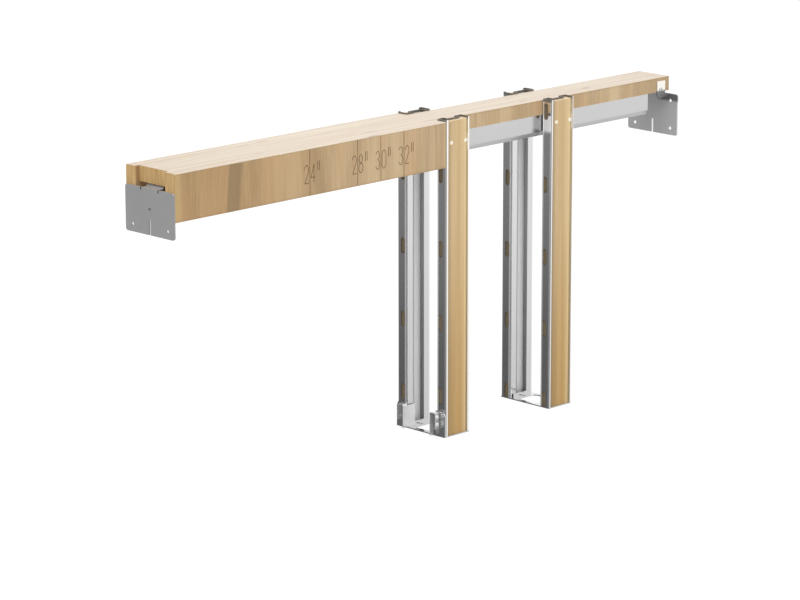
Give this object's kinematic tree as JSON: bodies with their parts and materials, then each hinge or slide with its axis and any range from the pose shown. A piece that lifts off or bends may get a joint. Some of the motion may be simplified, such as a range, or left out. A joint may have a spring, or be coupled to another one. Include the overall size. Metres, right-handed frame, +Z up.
{
  "type": "pocket door frame",
  "caption": "Pocket door frame: wooden header with an aluminium trolley track, split studs in steel channels on floor plates, and steel end brackets.",
  "frame": {"origin": "midway between the two screw holes in the underside of the first floor plate, the flat face that is screwed to the floor", "axes": "+X along the header from the door opening into the pocket, -Y out of the wall's front, +Z up"},
  "size_m": [0.916, 0.089, 0.422],
  "materials": {
    "header_wood": "planed bare softwood",
    "stud_wood": "planed bare softwood",
    "galvanised_steel": "bright zinc coated sheet",
    "track_aluminium": "mill finish extrusion",
    "bracket_steel": "zinc coated sheet",
    "trolley_moulding": "black moulding",
    "wheel_moulding": "cream moulding with a black tread",
    "plated_steel": "bright plated"
  },
  "bodies": {
    "frame": {"back_door_guide": "galvanised_steel", "back_nailer": "header_wood", "door_guide": "galvanised_steel", "first_back_channel": "galvanised_steel", "first_back_stud": "stud_wood", "first_floor_plate": "galvanised_steel", "first_front_channel": "galvanised_steel", "first_front_stud": "stud_wood", "front_nailer": "header_wood", "header_core": "header_wood", "left_end_bracket": "bracket_steel", "right_end_bracket": "bracket_steel", "second_back_channel": "galvanised_steel", "second_back_stud": "stud_wood", "second_floor_plate": "galvanised_steel", "second_front_channel": "galvanised_steel", "second_front_stud": "stud_wood", "track": "track_aluminium"},
    "lead_trolley": {"lead_back_axle": "plated_steel", "lead_door_plate": "plated_steel", "lead_front_left_axle": "plated_steel", "lead_front_right_axle": "plated_steel", "lead_hanger_bolt": "plated_steel", "lead_hanger_nut": "plated_steel", "lead_trolley_body": "trolley_moulding"},
    "lead_front_left_wheel": {"lead_front_left_wheel": "wheel_moulding"},
    "lead_front_right_wheel": {"lead_front_right_wheel": "wheel_moulding"},
    "lead_back_wheel": {"lead_back_wheel": "wheel_moulding"},
    "rear_trolley": {"rear_back_axle": "plated_steel", "rear_door_plate": "plated_steel", "rear_front_left_axle": "plated_steel", "rear_front_right_axle": "plated_steel", "rear_hanger_bolt": "plated_steel", "rear_hanger_nut": "plated_steel", "rear_trolley_body": "trolley_moulding"},
    "rear_front_left_wheel": {"rear_front_left_wheel": "wheel_moulding"},
    "rear_front_right_wheel": {"rear_front_right_wheel": "wheel_moulding"},
    "rear_back_wheel": {"rear_back_wheel": "wheel_moulding"}
  },
  "joints": [
    {"name": "lead_trolley_slide", "type": "slide", "parent": "frame", "child": "lead_trolley", "axis": [1, 0, 0], "range_m": [-0.02, 0.31]},
    {"name": "lead_front_left_wheel_spin", "type": "hinge", "parent": "lead_trolley", "child": "lead_front_left_wheel", "pos_m": [-0.403, -0.0146, 0.3857], "axis": [0, 1, 0], "continuous": true},
    {"name": "lead_front_right_wheel_spin", "type": "hinge", "parent": "lead_trolley", "child": "lead_front_right_wheel", "pos_m": [-0.357, -0.0146, 0.3857], "axis": [0, 1, 0], "continuous": true},
    {"name": "lead_back_wheel_spin", "type": "hinge", "parent": "lead_trolley", "child": "lead_back_wheel", "pos_m": [-0.38, 0.0146, 0.3857], "axis": [0, 1, 0], "continuous": true},
    {"name": "rear_trolley_slide", "type": "slide", "parent": "frame", "child": "rear_trolley", "axis": [1, 0, 0], "range_m": [0, 0.31]},
    {"name": "rear_front_left_wheel_spin", "type": "hinge", "parent": "rear_trolley", "child": "rear_front_left_wheel", "pos_m": [-0.0035, -0.0146, 0.3857], "axis": [0, 1, 0], "continuous": true},
    {"name": "rear_front_right_wheel_spin", "type": "hinge", "parent": "rear_trolley", "child": "rear_front_right_wheel", "pos_m": [0.0425, -0.0146, 0.3857], "axis": [0, 1, 0], "continuous": true},
    {"name": "rear_back_wheel_spin", "type": "hinge", "parent": "rear_trolley", "child": "rear_back_wheel", "pos_m": [0.0195, 0.0146, 0.3857], "axis": [0, 1, 0], "continuous": true}
  ]
}
